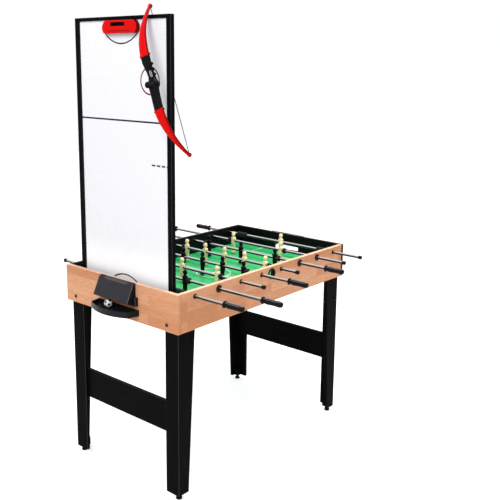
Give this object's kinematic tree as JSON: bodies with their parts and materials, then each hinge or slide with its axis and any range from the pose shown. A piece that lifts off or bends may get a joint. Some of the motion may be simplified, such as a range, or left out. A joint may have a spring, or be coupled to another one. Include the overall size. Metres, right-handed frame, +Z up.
{
  "type": "multi_game_table",
  "caption": "Multi game table with football rods on a wood-look apron, an upright slide hockey board in a black frame and a red toy bow hung on its corner",
  "frame": {"origin": "On the floor, midway between the four levelling feet", "axes": "+X along the table from the hockey board's end to the far end, +Y across it away from the black team's handles, +Z up"},
  "size_m": [1.1626, 1.202, 1.7364],
  "materials": {
    "wood_laminate": "satin",
    "black_laminate": "satin",
    "green_field": "satin",
    "chrome_steel": "polished",
    "black_plastic": "matte",
    "cream_plastic": "satin",
    "white_panel": "gloss",
    "red_plastic": "gloss",
    "white_ball": "satin",
    "black_cord": "matte"
  },
  "bodies": {
    "table": {"near_end_apron": "wood_laminate", "far_end_apron": "wood_laminate", "front_apron": "wood_laminate", "back_apron": "wood_laminate", "playfield": "green_field", "leg_near_front": "black_laminate", "leg_near_back": "black_laminate", "near_stretcher": "black_laminate", "near_goal_box": "black_plastic", "near_ball_tray": "black_plastic", "leg_far_front": "black_laminate", "leg_far_back": "black_laminate", "far_stretcher": "black_laminate", "far_goal_box": "black_plastic", "far_ball_tray": "black_plastic", "ball": "white_ball", "hockey_frame": "black_laminate", "hockey_panel": "white_panel", "hockey_goal_top": "red_plastic", "hockey_goal_bottom": "red_plastic", "bow_riser": "black_plastic", "bow_upper_limb": "red_plastic", "bow_lower_limb": "red_plastic", "bowstring": "black_cord"},
    "rod_1_slide": {"end_cap_1": "black_plastic"},
    "rod_1_spin": {"rod_1": "chrome_steel", "black_man_1": "black_plastic", "handle_1": "black_plastic"},
    "rod_2_slide": {"end_cap_2": "black_plastic"},
    "rod_2_spin": {"rod_2": "chrome_steel", "black_man_2a": "black_plastic", "black_man_2b": "black_plastic", "handle_2": "black_plastic"},
    "rod_3_slide": {"end_cap_3": "black_plastic"},
    "rod_3_spin": {"rod_3": "chrome_steel", "cream_man_3a": "cream_plastic", "cream_man_3b": "cream_plastic", "cream_man_3c": "cream_plastic", "handle_3": "black_plastic"},
    "rod_4_slide": {"end_cap_4": "black_plastic"},
    "rod_4_spin": {"rod_4": "chrome_steel", "handle_4": "black_plastic"},
    "rod_5_slide": {"end_cap_5": "black_plastic"},
    "rod_5_spin": {"rod_5": "chrome_steel", "handle_5": "black_plastic"},
    "rod_6_slide": {"end_cap_6": "black_plastic"},
    "rod_6_spin": {"rod_6": "chrome_steel", "black_man_6a": "black_plastic", "black_man_6b": "black_plastic", "black_man_6c": "black_plastic", "handle_6": "black_plastic"},
    "rod_7_slide": {"end_cap_7": "black_plastic"},
    "rod_7_spin": {"rod_7": "chrome_steel", "cream_man_7a": "cream_plastic", "cream_man_7b": "cream_plastic", "handle_7": "black_plastic"},
    "rod_8_slide": {"end_cap_8": "black_plastic"},
    "rod_8_spin": {"rod_8": "chrome_steel", "cream_man_8": "cream_plastic", "handle_8": "black_plastic"}
  },
  "joints": [
    {"name": "rod_1_push", "type": "slide", "parent": "table", "child": "rod_1_slide", "axis": [0, 1, 0], "range_m": [-0.0345, 0.0345]},
    {"name": "rod_1_turn", "type": "hinge", "parent": "rod_1_slide", "child": "rod_1_spin", "pos_m": [-0.427, 0, 0.756], "axis": [0, 1, 0], "range_deg": [-52, 24]},
    {"name": "rod_2_push", "type": "slide", "parent": "table", "child": "rod_2_slide", "axis": [0, 1, 0], "range_m": [-0.1275, 0.1275]},
    {"name": "rod_2_turn", "type": "hinge", "parent": "rod_2_slide", "child": "rod_2_spin", "pos_m": [-0.305, 0, 0.756], "axis": [0, 1, 0], "continuous": true},
    {"name": "rod_3_push", "type": "slide", "parent": "table", "child": "rod_3_slide", "axis": [0, 1, 0], "range_m": [-0.0775, 0.0775]},
    {"name": "rod_3_turn", "type": "hinge", "parent": "rod_3_slide", "child": "rod_3_spin", "pos_m": [-0.183, 0, 0.756], "axis": [0, 1, 0], "continuous": true},
    {"name": "rod_4_push", "type": "slide", "parent": "table", "child": "rod_4_slide", "axis": [0, 1, 0], "range_m": [-0.0495, 0.0395]},
    {"name": "rod_4_turn", "type": "hinge", "parent": "rod_4_slide", "child": "rod_4_spin", "pos_m": [-0.061, 0, 0.756], "axis": [0, 1, 0], "continuous": true},
    {"name": "rod_5_push", "type": "slide", "parent": "table", "child": "rod_5_slide", "axis": [0, 1, 0], "range_m": [-0.0385, 0.0505]},
    {"name": "rod_5_turn", "type": "hinge", "parent": "rod_5_slide", "child": "rod_5_spin", "pos_m": [0.061, 0, 0.756], "axis": [0, 1, 0], "continuous": true},
    {"name": "rod_6_push", "type": "slide", "parent": "table", "child": "rod_6_slide", "axis": [0, 1, 0], "range_m": [-0.0855, 0.0695]},
    {"name": "rod_6_turn", "type": "hinge", "parent": "rod_6_slide", "child": "rod_6_spin", "pos_m": [0.183, 0, 0.756], "axis": [0, 1, 0], "continuous": true},
    {"name": "rod_7_push", "type": "slide", "parent": "table", "child": "rod_7_slide", "axis": [0, 1, 0], "range_m": [-0.1475, 0.1075]},
    {"name": "rod_7_turn", "type": "hinge", "parent": "rod_7_slide", "child": "rod_7_spin", "pos_m": [0.305, 0, 0.756], "axis": [0, 1, 0], "continuous": true},
    {"name": "rod_8_push", "type": "slide", "parent": "table", "child": "rod_8_slide", "axis": [0, 1, 0], "range_m": [-0.0125, 0.0565]},
    {"name": "rod_8_turn", "type": "hinge", "parent": "rod_8_slide", "child": "rod_8_spin", "pos_m": [0.427, 0, 0.756], "axis": [0, 1, 0], "continuous": true}
  ]
}
